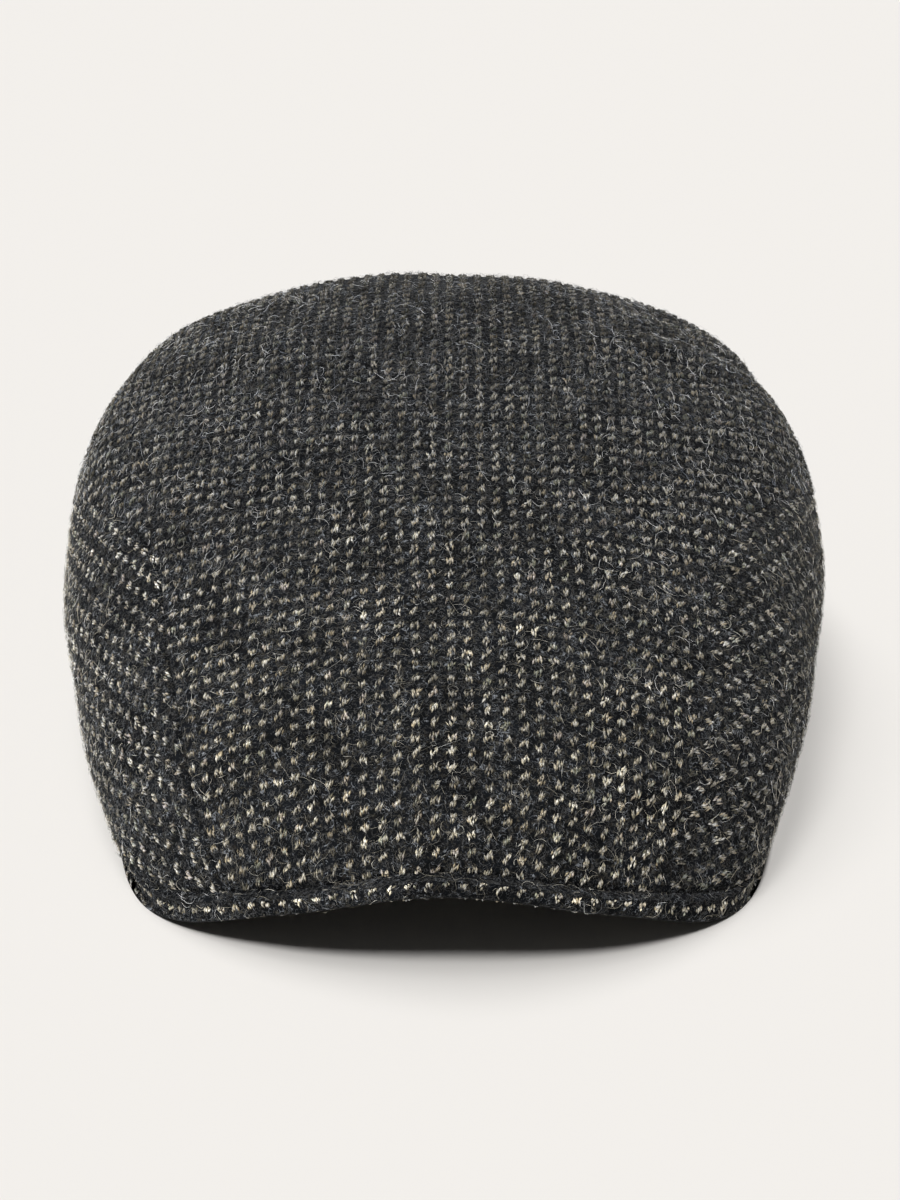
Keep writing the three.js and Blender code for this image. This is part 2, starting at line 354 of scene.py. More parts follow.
def section_points(rows, t):
    """Points on section lines at t, from -1 at the right rim to 1 at the left one: from the middle to
    the widest place the line is a quarter turn, its height and sweep being powers of the cosine, then it
    falls through a slightly swollen wall to the rim. One spline runs through the knots of both sides."""
    top_y, top_z, wide_x, wide_y, wide_z, rim_x, rim_y, rim_z, arch, sweep = rows.T[:SHAPE_COLUMNS]
    rise = np.clip(np.cos(ARCH_TURNS), 0, None)
    wall_x = (wide_x + rim_x) / 2 + WALL_SWELL * np.abs(wide_x - rim_x)
    x = np.vstack([wide_x * np.sin(ARCH_TURNS), wall_x, rim_x])
    y = np.vstack([wide_y + (top_y - wide_y) * rise ** sweep, (wide_y + rim_y) / 2, rim_y])
    z = np.vstack([wide_z + (top_z - wide_z) * rise ** arch, (wide_z + rim_z) / 2, rim_z])
    left = np.stack([x, y, z], axis=-1)
    knots = np.concatenate([left[:0:-1] * (-1, 1, 1), left])
    points = spline(knots, (t + 1) * (len(left) - 1))
    points[:, 2] = np.maximum(points[:, 2], 0)
    return points


def crown(s, t):
    """The crown's smooth face: s runs from the peak to the back, t from rim to rim."""
    return section_points(spline(SECTIONS, s * LAST_SECTION), t)


def seam_at(s, side, clear):
    """Where a panel's edge runs beside the side seam: the seam's place in the section, which is a little
    skewed on the right, and then half of the seam's gap towards the rim or the middle."""
    seam = spline(SECTIONS[:, SEAM_COLUMN:], s * LAST_SECTION)[:, 0]
    seam = side * (seam + (SEAM_SKEW * 4 * s * (1 - s) if side < 0 else 0))
    step = 1e-3
    reach = np.linalg.norm(crown(s, seam + step) - crown(s, seam), axis=1)
    return seam + side * clear * step * SEAM_GAP / 2 / reach


def even_steps(line, count=400):
    """A function that turns even shares of a line's length into the line's own parameter."""
    s = np.linspace(0, 1, count)
    run = np.linalg.norm(np.diff(line(s), axis=0), axis=1)
    share = np.concatenate([[0], np.cumsum(run)]) / run.sum()
    return lambda a: np.interp(a, share, s)


def top_face():
    """The top panel: a from the peak to the back, b from the right seam to the left one."""
    place = even_steps(lambda s: crown(s, 0 * s))

    def face(a, b):
        s = place(a)
        right = seam_at(s, -1, -1)
        return crown(s, right + b * (seam_at(s, 1, -1) - right))
    return face


def side_face(side):
    """A side panel between its seam and the rim, b growing from right to left as on the top panel."""
    place = even_steps(lambda s: crown(s, (seam_at(s, side, 1) + side) / 2))

    def face(a, b):
        s = place(a)
        seam = seam_at(s, side, 1)
        share = b if side > 0 else 1 - b
        return crown(s, seam + share * (side - seam))
    return face


def peak_point(depth, t, drop):
    """A point of the peak: depth from its lip to the forehead, drop from its upper face to the lower.
    The lip sits a touch to the wearer's left and swells in front of the crown, and the cover is fuller
    at the two front corners."""
    row = depth * (len(PEAK_ROWS) - 1)
    points = section_points(spline(PEAK_ROWS, row), t)
    points[:, 0] += PEAK_SHIFT * np.clip(1 - row, 0, 1)
    out = np.abs(t)
    thickness = PEAK_THICKNESS + (PEAK_TIP_THICKNESS - PEAK_THICKNESS) * out ** 3
    thickness += PEAK_CORNER_DROP * smoothstep(out, *CORNER_START) * smoothstep(out, *CORNER_END)
    swell = LIP_SWELL * np.sin(np.pi * np.clip(row, 0, 1))
    swell = swell * (1 - SWELL_LOST * smoothstep(out, *SWELL_FADE))
    points[:, 2] = np.maximum(points[:, 2] + (1 - drop) * swell - drop * thickness, 0)
    return points


def peak_upper_face(a, b):
    """The cover from under the lip, round its half circle and back over the board."""
    turn = np.pi * np.minimum(a / NOSE_SHARE, 1) - np.pi / 2
    back = np.interp(a, [NOSE_SHARE, LIP_SHOWN, 1], [PEAK_NOSE, LIP_DEPTH, 1])
    depth = np.where(a < NOSE_SHARE, PEAK_NOSE * (1 - np.cos(turn)), back)
    return peak_point(depth, PEAK_REACH * (2 * b - 1), (1 - np.sin(turn)) / 2)


def peak_lower_face(a, b):
    """The cover under the board, from the lip to the forehead, seen from below."""
    depth = PEAK_NOSE + (1 - PEAK_NOSE) * a
    return peak_point(depth, PEAK_REACH * (1 - 2 * b), np.ones_like(a))


def outward(face, a, b, step=1e-3):
    """Directions away from the cloth: the cross product of the face's slopes along b and a."""
    along = face(np.minimum(a + step, 1), b) - face(np.maximum(a - step, 0), b)
    across = face(a, np.minimum(b + step, 1)) - face(a, np.maximum(b - step, 0))
    return unit(np.cross(across, along))


def fold_depth(points):
    """How far the soft folds press the cloth in: a rounded trough that fades at its ends and sides."""
    turn = np.radians(FOLDS[:, 4])
    dx = points[:, :1] - FOLDS[:, 0]
    dy = points[:, 1:2] - FOLDS[:, 1]
    along = (dx * np.cos(turn) + dy * np.sin(turn)) / FOLDS[:, 2]
    across = (dy * np.cos(turn) - dx * np.sin(turn)) / FOLDS[:, 3]
    return np.sum(FOLDS[:, 5] * np.exp(-along ** 2 - across ** 2), axis=1)


def waves(table, points):
    """Slow change over the cap: a sum of a few long waves."""
    return np.sum(table[:, 4] * np.sin(points @ table[:, :3].T + table[:, 3]), axis=1)


def grid_runs(points, axis):
    """The length run along each line of a grid up to each of its points."""
    steps = np.linalg.norm(np.diff(points, axis=axis), axis=2)
    start = np.zeros_like(np.take(steps, [0], axis=axis))
    return np.concatenate([start, np.cumsum(steps, axis=axis)], axis=axis)


def laid_flat(points, guide, shared, turn):
    """Lays a grid of points flat. It starts from the lengths run along the grid's lines, and then
    springs along the lines and, more weakly, the diagonals of each cell pull every pair of points to the
    distance that they have on the cap. The guide column ends up along v, apart from a turn of the
    grain in degrees. A shared start puts each row where the guide column crosses it."""
    middle = len(points) // 2
    across = grid_runs(points, 1)
    across = across - across[:, guide:guide + 1]
    along = grid_runs(points, 0)
    along = along - along[middle]
    if shared:
        along = np.repeat(along[:, guide:guide + 1], along.shape[1], axis=1)
    flat = np.stack([across, along], axis=2)
    every, head, tail = slice(None), slice(None, -1), slice(1, None)
    springs = [((head, every), (tail, every), 1.0), ((every, head), (every, tail), 1.0),
               ((head, head), (tail, tail), DIAGONAL_PULL),
               ((head, tail), (tail, head), DIAGONAL_PULL)]
    for _ in range(FLATTEN_ROUNDS):
        push = np.zeros_like(flat)
        hold = np.zeros(flat.shape[:2] + (1,))
        for one, other, weight in springs:
            reach = flat[other] - flat[one]
            length = np.linalg.norm(reach, axis=2, keepdims=True)
            rest = np.linalg.norm(points[other] - points[one], axis=2, keepdims=True)
            move = 0.5 * weight * reach * (1 - rest / length)
            push[one] += move
            push[other] -= move
            hold[one] += weight
            hold[other] += weight
        flat += push / hold
    x, y = unit(flat[-1, guide] - flat[0, guide])
    lean = math.radians(turn)
    x, y = x * math.cos(lean) + y * math.sin(lean), y * math.cos(lean) - x * math.sin(lean)
    return (flat - flat[middle, guide]) @ np.array([[y, x], [-x, y]])


def laid_as_strip(points):
    """The layout of a strip that follows the peak's lip: u runs along the lip and v over it."""
    along = grid_runs(points, 0)
    lip = grid_runs(points, 1)[LIP_ROW]
    return np.stack([np.repeat(lip[None] - lip.mean(), len(points), axis=0), along], axis=2)


class Cloth:
    """A length of tweed on the cap. Its face is a function of a, from front to back, and b, from the
    wearer's right to left, both from 0 to 1. A table on a coarse grid holds where each point lay in the
    flat cloth (u across the grain, v along it) and how far it is from the four borders."""

    def __init__(self, face, borders, softness, lay, phase=(0.0, 0.0), ease=None, stroke=1.0,
                 raised=0.0):
        self.face = face
        self.borders = np.array(borders)
        self.softness = softness
        self.phase = np.array(phase)
        self.ease = ease
        self.stroke = stroke
        self.raised = raised
        a, b = self.grid(np.linspace(0, 1, CLOTH_ROWS), np.linspace(0, 1, CLOTH_COLUMNS))
        points = face(a, b).reshape(CLOTH_ROWS, CLOTH_COLUMNS, 3)
        along = grid_runs(points, 0)
        across = grid_runs(points, 1)
        distances = np.stack([across, across[:, -1:] - across, along, along[-1:] - along], axis=2)
        self.length = along[-1].max()
        self.width = across[:, -1].max()
        self.table = np.concatenate([lay(points), distances], axis=2)

    @staticmethod
    def grid(a, b):
        """Two flat arrays with every pair of the two lists."""
        return (np.repeat(a, len(b)), np.tile(b, len(a)))

    def laid(self, a, b, width=None):
        """The table between its points, by a spline along the columns and then one along the row."""
        table = self.table[:, :, :width]
        lines = spline(table.reshape(CLOTH_ROWS, -1), a * (CLOTH_ROWS - 1))
        lines = lines.reshape(len(a), CLOTH_COLUMNS, -1).transpose(1, 0, 2)
        return spline(lines, b * (CLOTH_COLUMNS - 1))

    def find(self, u, v):
        """Where points of the flat cloth are on the face, and how a and b change there with u and v:
        Newton's steps from the nearest point of the table."""
        flat = self.table[:, :, :2].reshape(-1, 2).astype(np.float32)
        near = np.argmin((u[:, None] - flat[:, 0]) ** 2 + (v[:, None] - flat[:, 1]) ** 2, axis=1)
        place = np.stack([near // CLOTH_COLUMNS / (CLOTH_ROWS - 1),
                          near % CLOTH_COLUMNS / (CLOTH_COLUMNS - 1)], axis=1)
        goal = np.stack([u, v], axis=1)
        step = 1e-3
        for _ in range(FIND_ROUNDS):
            a, b = place.T
            here = self.laid(a, b, 2)
            slopes = np.stack([self.laid(a + step, b, 2) - here,
                               self.laid(a, b + step, 2) - here], axis=2) / step
            inverse = np.linalg.inv(slopes)
            move = np.einsum("nij,nj->ni", inverse, goal - here)
            place = place + np.clip(move, -FIND_STEP, FIND_STEP)
            place = np.clip(place, -FIND_MARGIN, 1 + FIND_MARGIN)
        miss = np.linalg.norm(goal - self.laid(*place.T, 2), axis=1)
        inside = (miss < FIND_MISS) & np.all((place > 0) & (place < 1), axis=1)
        return place[inside], inverse[inside]

    def eased(self, u, v):
        """Where the weave's crossings lie once the cloth is drawn over the crown."""
        if self.ease is None:
            return u, v
        inward, backward, bow, turning, reach = self.ease
        past = v - turning
        return (u * (1 - inward * np.abs(u)) * (1 - backward * np.maximum(past, 0)),
                v + bow * u * u * reach * np.tanh(past / reach))

    def upright(self, a):
        """How much the brushed yarn is drawn out along the grain and stands up towards the back."""
        return 1 + self.raised * smoothstep(a, *RAISED)

    def lifted(self, a, b, height=0.0):
        """Points at a height over the finished face, with the face's directions outward: the smooth face
        with its folds and lumps, its borders rolled in and the cloth a little puckered by the seams."""
        points = self.face(a, b)
        normal = outward(self.face, a, b)
        laid = self.laid(a, b)
        depth, reach, power = self.borders.T
        roll = np.sum(depth * np.clip(1 - laid[:, 2:] / reach, 0, 1) ** power, axis=1)
        sewn = np.where(self.borders == SEAM, 1, 0).all(axis=1)
        near = np.max(sewn * np.clip(1 - laid[:, 2:] / PUCKER_REACH, 0, 1), axis=1)
        pucker = PUCKER_HEIGHT * near * np.sin(2 * np.pi * laid[:, 1] / PUCKER_LENGTH)
        rise = height - roll + self.softness * (waves(LUMPS, points) + pucker - fold_depth(points))
        points = points + normal * rise[:, None]
        points[:, 2] = np.maximum(points[:, 2], 0)
        return points, normal

    def flat_area(self):
        """The area of the flat cloth in square millimetres: the sum of its cells' cross products."""
        flat = self.table[:, :, :2]
        one = flat[1:, 1:] - flat[:-1, :-1]
        other = flat[1:, :-1] - flat[:-1, 1:]
        return np.abs(one[..., 0] * other[..., 1] - one[..., 1] * other[..., 0]).sum() / 2

    def flat_size(self):
        """The width and length of the flat cloth in millimetres."""
        return np.ptp(self.table[:, :, :2].reshape(-1, 2), axis=0)


@functools.cache
def cloths():
    """The lengths of tweed by name. Borders are given in the order right, left, front, back."""
    bare = (PLAIN, PLAIN, PLAIN, PLAIN)
    top = functools.partial(laid_flat, guide=CLOTH_COLUMNS // 2, shared=True, turn=0)
    left = functools.partial(laid_flat, guide=CLOTH_COLUMNS - 1, shared=False, turn=GRAIN_TURN)
    right = functools.partial(laid_flat, guide=0, shared=False, turn=-GRAIN_TURN)
    return {
        "top": Cloth(top_face(), (SEAM, SEAM, FRONT_FOLD, HEM_FOLD), 1.0, top, ease=EASE, raised=0.5),
        "left": Cloth(side_face(1), (SEAM, HEM_FOLD, FRONT_FOLD, HEM_FOLD), 1.0, left),
        "right": Cloth(side_face(-1), (HEM_FOLD, SEAM, FRONT_FOLD, HEM_FOLD), 1.0, right),
        "lip": Cloth(peak_upper_face, bare, 0.0, laid_as_strip, (0.0, LIP_FLECKS), stroke=0.8),
        "under": Cloth(peak_lower_face, bare, 0.0, laid_as_strip),
    }


def corners(grid):
    """The four corners of each cell of a grid, in the order that faces outwards."""
    cells = np.stack([grid[:-1, :-1], grid[:-1, 1:], grid[1:, 1:], grid[1:, :-1]], axis=2)
    return cells.reshape(-1, 4, *grid.shape[2:])


def border_loop(numbers):
    """The border of a grid of numbers, once round."""
    return np.concatenate([numbers[0, :-1], numbers[:-1, -1], numbers[-1, :0:-1], numbers[:0:-1, 0]])


def edge_strip(fine, coarse):
    """Triangles between the outer border and the inner one, which has a point for every few outer ones:
    each inner point fans to the nearer outer points, and one triangle joins it to the next."""
    step = len(fine) // len(coarse)
    after = np.roll(coarse, -1)
    start = fine.reshape(-1, step)
    end = np.roll(fine, -1).reshape(-1, step)
    nearer = np.where(np.arange(step) < step // 2, coarse[:, None], after[:, None])
    fans = np.stack([end, start, nearer], axis=2).reshape(-1, 3)
    links = np.stack([start[:, step // 2], coarse, after], axis=1)
    return np.concatenate([fans, links])


def along_peak(t, step=0.02):
    """The way back over the peak's upper face at the crown's front edge."""
    under = np.full_like(t, 1 / (len(PEAK_ROWS) - 1))
    return unit(peak_point(under + step, t, 0 * t) - peak_point(under, t, 0 * t))


def shell(cloth, spacing, thickness, hem):
    """A panel as a closed shell: its finished face on a fine grid, and inside it a coarser grid that
    lies a cloth's thickness in, thicker at the turned hem, joined along the borders."""
    rows = INNER_STEP * round(cloth.length / spacing / INNER_STEP) + 1
    columns = INNER_STEP * round(cloth.width / spacing / INNER_STEP) + 1
    a, b = Cloth.grid(np.linspace(0, 1, rows), np.linspace(0, 1, columns))
    outer, normal = cloth.lifted(a, b)
    flat = cloth.laid(a, b, 2)
    numbers = np.arange(rows * columns).reshape(rows, columns)
    kept = numbers[::INNER_STEP, ::INNER_STEP].ravel()
    turned = smoothstep(outer[kept, 2:], *HEM_HEIGHT) * smoothstep(a[kept, None], *HEM_BEHIND)
    way = -normal[kept]
    front = a[kept] == 0
    reach = np.clip(outer[kept][front, 0] / SECTIONS[0, RIM_X_COLUMN], -1, 1)
    way[front] = along_peak(reach * SECTIONS[0, SEAM_COLUMN])
    inner = outer[kept] + way * (thickness + (hem - thickness) * turned)
    inner[:, 2] = np.maximum(inner[:, 2], 0)
    inner_numbers = len(outer) + np.arange(len(kept)).reshape(rows // INNER_STEP + 1, -1)
    points = np.concatenate([outer, inner])
    flats = np.concatenate([flat, flat[kept]])
    faces = [corners(numbers), corners(inner_numbers[:, ::-1]),
             edge_strip(border_loop(numbers), border_loop(inner_numbers))]
    return points, [(group, flats[group]) for group in faces]


def peak_shell(spacing):
    """The covered peak as one closed form: the upper cover with its rounded lip, the lower cover, the
    edge at the forehead between them and a face at each end."""
    upper, under = cloths()["lip"], cloths()["under"]
    columns = 2 * round(upper.width / spacing / 2) + 1
    b = np.linspace(0, 1, columns)
    upper_a, upper_b = Cloth.grid(np.linspace(0, 1, PEAK_UPPER_ROWS), b)
    under_a, under_b = Cloth.grid(np.linspace(0, 1, PEAK_LOWER_ROWS), b)
    top, _ = upper.lifted(upper_a, upper_b)
    bottom, _ = under.lifted(under_a[columns:], under_b[columns:])
    top_numbers = np.arange(len(top)).reshape(-1, columns)
    bottom_numbers = np.concatenate([top_numbers[:1, ::-1],
                                     len(top) + np.arange(len(bottom)).reshape(-1, columns)])
    top_flat = upper.laid(upper_a, upper_b, 2).reshape(-1, columns, 2)
    bottom_flat = under.laid(under_a, under_b, 2).reshape(-1, columns, 2)
    forehead = np.stack([top_numbers[-1], bottom_numbers[-1, ::-1]])
    ends = np.stack([np.concatenate([top_numbers[:, 0], bottom_numbers[:0:-1, -1]]),
                     np.concatenate([bottom_numbers[1:, 0], top_numbers[::-1, -1]])])
    points = np.concatenate([top, bottom])
    plan = points[:, :2]
    return points, [(corners(top_numbers), corners(top_flat)),
                    (corners(bottom_numbers), corners(bottom_flat)),
                    (corners(forehead), plan[corners(forehead)]), (ends, plan[ends])]


def strand_faces(rings, sides):
    """The faces of one strand, a closed spindle of rings between two tips: quads between neighbouring
    rings and triangles at the tips, each with its corners' places on an unrolled strip."""
    def number(ring, side):
        return 1 + ring * sides + side % sides

    def strip(ring, side):
        return np.stack(np.broadcast_arrays(side / sides, (ring + 1) / (rings + 1)), axis=-1)

    ring, side = np.indices((rings - 1, sides)).reshape(2, -1)
    turns = [(0, 0), (1, 0), (1, 1), (0, 1)]
    quads = np.stack([number(ring + r, side + k) for r, k in turns], axis=1)
    quad_strip = np.stack([strip(ring + r, side + k) for r, k in turns], axis=1)
    k = np.arange(sides)
    last = rings - 1
    first_tip = np.stack([np.zeros_like(k), number(0, k), number(0, k + 1)], axis=1)
    end = np.full_like(k, 1 + rings * sides)
    last_tip = np.stack([end, number(last, k + 1), number(last, k)], axis=1)
    first_strip = np.stack([strip(-1, k + 0.5), strip(0, k), strip(0, k + 1)], axis=1)
    last_strip = np.stack([strip(rings, k + 0.5), strip(last, k + 1), strip(last, k)], axis=1)
    return [(quads, quad_strip),
            (np.concatenate([first_tip, last_tip]), np.concatenate([first_strip, last_strip]))]


def strands(paths, normals, half_width, half_height, sides):
    """Many strands as one mesh: each follows its path, with rings that are ellipses across the path and
    upright on the cloth, and comes to a point at both ends. The flat places give each strand a cell of
    its own in a square, for baking."""
    count, length = paths.shape[:2]
    run = np.gradient(paths, axis=1)
    across = unit(np.cross(run, normals))
    up = unit(np.cross(across, run))
    turn = 2 * np.pi * (np.arange(sides) + 0.75) / sides
    wide = (half_width[..., None] * np.cos(turn))[..., None] * across[:, 1:-1, None]
    high = (half_height[..., None] * np.sin(turn))[..., None] * up[:, 1:-1, None]
    rings = (paths[:, 1:-1, None] + wide + high).reshape(count, -1, 3)
    points = np.concatenate([paths[:, :1], rings, paths[:, -1:]], axis=1)
    per = points.shape[1]
    cells = math.ceil(math.sqrt(count))
    which = np.arange(count)
    corner = np.stack([which % cells, which // cells], axis=1) / cells
    groups = []
    for faces, strip in strand_faces(length - 2, sides):
        numbers = (faces + per * which[:, None, None]).reshape(-1, faces.shape[1])
        bake = corner[:, None, None] + (BAKE_MARGIN + (1 - 2 * BAKE_MARGIN) * strip) / cells
        groups.append((numbers, bake.reshape(-1, faces.shape[1], 2)))
    return points.reshape(-1, 3), groups


def fleck_strands(cloth, sizes, rng, shown):
    """The pale yarn's crossings: every cell of the weave holds two short leaning strokes, the one
    towards the wearer's left further back, and each stroke is a tuft of a few loose plies whose tips
    dive under the ground cloth. Gives their paths and sizes, which cell and which ply each one is, and
    the places of the cells."""
    pitch = np.array([sizes.column_pitch, sizes.row_pitch]) / MM
    flat = cloth.table[:, :, :2].reshape(-1, 2)
    low = np.floor(LATTICE_REACH * flat.min(axis=0) / pitch)
    high = np.ceil(LATTICE_REACH * flat.max(axis=0) / pitch)
    u, v = (grid.ravel() for grid in np.meshgrid(np.arange(low[0], high[0] + 1) * pitch[0],
                                                 np.arange(low[1], high[1] + 1) * pitch[1]))
    short, long, aslant, bowed = SWAY_LENGTHS
    across = np.sin(v / short + SWAY_PHASES[0]) + np.sin(v / long + u / aslant)
    sway = np.stack([across, np.sin(u / bowed + SWAY_PHASES[1])], axis=1)
    cell = np.stack(cloth.eased(u, v), axis=1) + cloth.phase + SWAY * sway
    place, slopes = cloth.find(*(cell + rng.normal(0, CELL_SPREAD, cell.shape)).T)
    kept = shown(place)
    place, slopes = place[kept], slopes[kept]
    strokes = np.repeat(np.arange(len(place)), 2)
    hand = np.tile([-1, 1], len(place))
    across = cloth.laid(*place[strokes].T, 1)[:, 0]
    step = np.stack([np.full(len(strokes), STROKE_STEP[0]),
                     STROKE_STEP[1] * np.clip(1 + across / STEP_FADE, 0, 1)], axis=1)
    centre = hand[:, None] * pitch * step + rng.normal(0, STROKE_SPREAD, (len(strokes), 2))
    lean = np.radians(rng.normal(*STROKE_LEAN, len(strokes)))
    plies = len(PLIES)
    cells = np.repeat(strokes, plies)
    ply = np.tile(np.arange(plies), len(strokes))
    count = len(cells)
    lean = np.repeat(lean, plies) + np.radians(rng.normal(0, PLY_LEAN, count))
    way = np.stack([np.sin(lean), np.cos(lean)], axis=1)
    tall = cloth.upright(place[cells, :1])
    apart = PLIES[ply] * sizes.stroke_width / MM / np.sqrt(tall[:, 0])
    centre = (np.repeat(centre, plies, axis=0) + apart[:, None] * way[:, ::-1] * (1, -1)
              + way * rng.normal(0, PLY_SLIP, (count, 1)) + rng.normal(0, PLY_SPREAD, (count, 2)))
    run = sizes.stroke_length / MM / 2 * cloth.stroke * rng.uniform(*PLY_LENGTHS, (count, 1)) * tall
    run = run * np.array([-1, 0, 1])
    offset = centre[:, None] + run[..., None] * way[:, None]
    spots = place[cells][:, None] + np.einsum("nij,nkj->nki", slopes[cells], offset)
    half_wide = sizes.stroke_width / MM * PLY_WIDTH * rng.uniform(*PLY_WIDTHS, (count, 1))
    half_high = sizes.stroke_height / MM / 2 * rng.uniform(*PLY_HEIGHTS, (count, 1)) * tall
    rise = half_high * PLY_RISE
    whole = np.all((spots[:, 1] > 0) & (spots[:, 1] < 1), axis=1)
    strand = (np.clip(spots[whole], 0, 1), rise[whole], half_wide[whole], half_high[whole])
    return strand, cells[whole], ply[whole], place


def nap_strands(cloth, sizes, hair, density, rng, shown):
    """The brushed-up nap: single curly fibres that lie on the cloth. Each path turns at a rate of its
    own that drifts, and bows up from the cloth, and some have one end free in the air."""
    usual, points, curliness, loose, _ = hair
    flat = cloth.table[:, :, :2].reshape(-1, 2)
    low, high = flat.min(axis=0), flat.max(axis=0)
    tries = int(density * np.prod(high - low))
    place, slopes = cloth.find(*(low + (high - low) * rng.random((tries, 2))).T)
    kept = np.flatnonzero(shown(place))
    kept = kept[np.argsort(place[kept, 0])]
    place, slopes = place[kept], slopes[kept]
    count = len(place)
    along = np.arange(points) / (points - 1)
    length = usual * np.clip(rng.lognormal(*HAIR_LENGTHS, (count, 1)), *HAIR_LIMITS)
    step = length / (points - 1)
    curl = rng.normal(0, curliness, (count, 1)) + rng.normal(0, CURL_DRIFT * curliness, (count, points))
    heading = rng.uniform(0, 2 * np.pi, (count, 1)) + np.cumsum(curl * step, axis=1)
    offset = np.cumsum(np.stack([step * np.cos(heading), step * np.sin(heading)], axis=2), axis=1)
    tall = cloth.upright(place[:, :1])
    offset = offset - offset.mean(axis=1, keepdims=True)
    offset = offset * np.stack([1 / np.sqrt(tall), tall], axis=2)
    spots = place[:, None] + np.einsum("nij,nkj->nki", slopes, offset)
    bow = rng.uniform(*HAIR_BOW, (count, 1)) * np.sin(np.pi * along)
    free = np.where(rng.random((count, 1)) < loose, rng.uniform(*FREE_END, (count, 1)), 0) * along ** 2
    rise = HAIR_BASE + (bow + free) * sizes.nap_height / MM * tall
    thin = sizes.fibre_width / MM / 2 * rng.uniform(*HAIR_WIDTHS, (count, 1))
    thin = thin * np.linspace(1, HAIR_TAPER, points - 2)
    sewn = SEAM_OVERLAP * (cloth.borders[:2, 0] == SEAM[0])
    whole = np.all((spots > (0, -sewn[0])) & (spots < (1, 1 + sewn[1])), axis=(1, 2))
    return spots[whole], rise[whole], thin[whole], thin[whole]


def lay_strands(name, cloth, strand, colours, shades, material):
    """Puts strands on a cloth as pieces of a size that exports well, from front to back. Each strand has
    a colour, and the shades take it from tip to tip, with the upper edge of a ring before its two lower
    ones."""
    spots, rise, half_wide, half_high = strand
    count, length = spots.shape[:2]
    points, normals = cloth.lifted(*spots.reshape(-1, 2).T, rise.ravel())
    points[:, 2] = np.maximum(points[:, 2], FLOOR_CLEARANCE)
    points = points.reshape(count, length, 3)
    normals = normals.reshape(count, length, 3)
    sides = (len(shades) - 2) // (length - 2)
    triangles = 2 * sides * (length - 2)
    parts = np.array_split(np.arange(count), math.ceil(count * triangles / PIECE_LIMIT))
    for turn, part in enumerate(parts):
        mesh = strands(points[part], normals[part], half_wide[part], half_high[part], sides)
        own_name = f"{name}_{turn + 1}" if len(parts) > 1 else name
        piece = make_piece(own_name, *mesh, material, "OFBake", 1.0)
        tint(piece, (colours[part][:, None] * shades[:, None]).reshape(-1, 3))


def make_piece(name, points, groups, material, flat_name="weave", flat_scale=MM):
    """Puts arrays into a new mesh object at the origin, smooth, with its flat places as a UV map. It
    rides on the cap's only body."""
    mesh = bpy.data.meshes.new(name)
    mesh.vertices.add(len(points))
    mesh.vertices.foreach_set("co", (points * MM).astype(np.float32).ravel())
    numbers = np.concatenate([group.ravel() for group, _ in groups]).astype(np.int32)
    sizes = np.concatenate([np.full(len(group), group.shape[1]) for group, _ in groups])
    starts = np.concatenate([[0], np.cumsum(sizes)[:-1]]).astype(np.int32)
    mesh.loops.add(len(numbers))
    mesh.loops.foreach_set("vertex_index", numbers)
    mesh.polygons.add(len(sizes))
    mesh.polygons.foreach_set("loop_start", starts)
    mesh.polygons.foreach_set("use_smooth", np.ones(len(sizes), dtype=bool))
    flat = np.concatenate([places.reshape(-1, 2) for _, places in groups]) * flat_scale
    mesh.uv_layers.new(name=flat_name).data.foreach_set("uv", flat.astype(np.float32).ravel())
    mesh.update(calc_edges=True)
    mesh.materials.append(material)
    piece = bpy.data.objects.new(name, mesh)
    bpy.context.scene.collection.objects.link(piece)
    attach(piece, "root")
    return piece


def tint(piece, colours):
    """Gives every vertex its yarn's colour."""
    attribute = piece.data.attributes.new("yarn", "FLOAT_COLOR", "POINT")
    full = np.concatenate([colours, np.ones((len(colours), 1))], axis=1)
    attribute.data.foreach_set("color", full.astype(np.float32).ravel())


def add(tree, kind, inputs=None, **settings):
    """Adds a node. Settings are its own properties; inputs are values, or outputs that feed it."""
    node = tree.nodes.new("ShaderNode" + kind)
    for name, value in settings.items():
        setattr(node, name, value)
    for name, value in (inputs or {}).items():
        if isinstance(value, bpy.types.NodeSocket):
            tree.links.new(value, node.inputs[name])
        else:
            node.inputs[name].default_value = value
    return node.outputs[0] if len(node.outputs) == 1 else node.outputs


def opaque(colour):
    """A colour with full alpha, as colour sockets take it."""
    return (*colour, 1.0)


def layered(tree, colour, layers):
    """Lays colours over a colour, one after the other, each by a share of its own."""
    for share, own in layers:
        colour = add(tree, "Mix", {0: share, 6: colour, 7: opaque(own)}, data_type="RGBA")[2]
    return colour


def shaded(tree, colour, shade):
    """Makes a colour lighter and darker by a factor."""
    grey = add(tree, "CombineColor", {0: shade, 1: shade, 2: shade})
    return add(tree, "Mix", {0: 1.0, 6: colour, 7: grey}, data_type="RGBA", blend_type="MULTIPLY")[2]


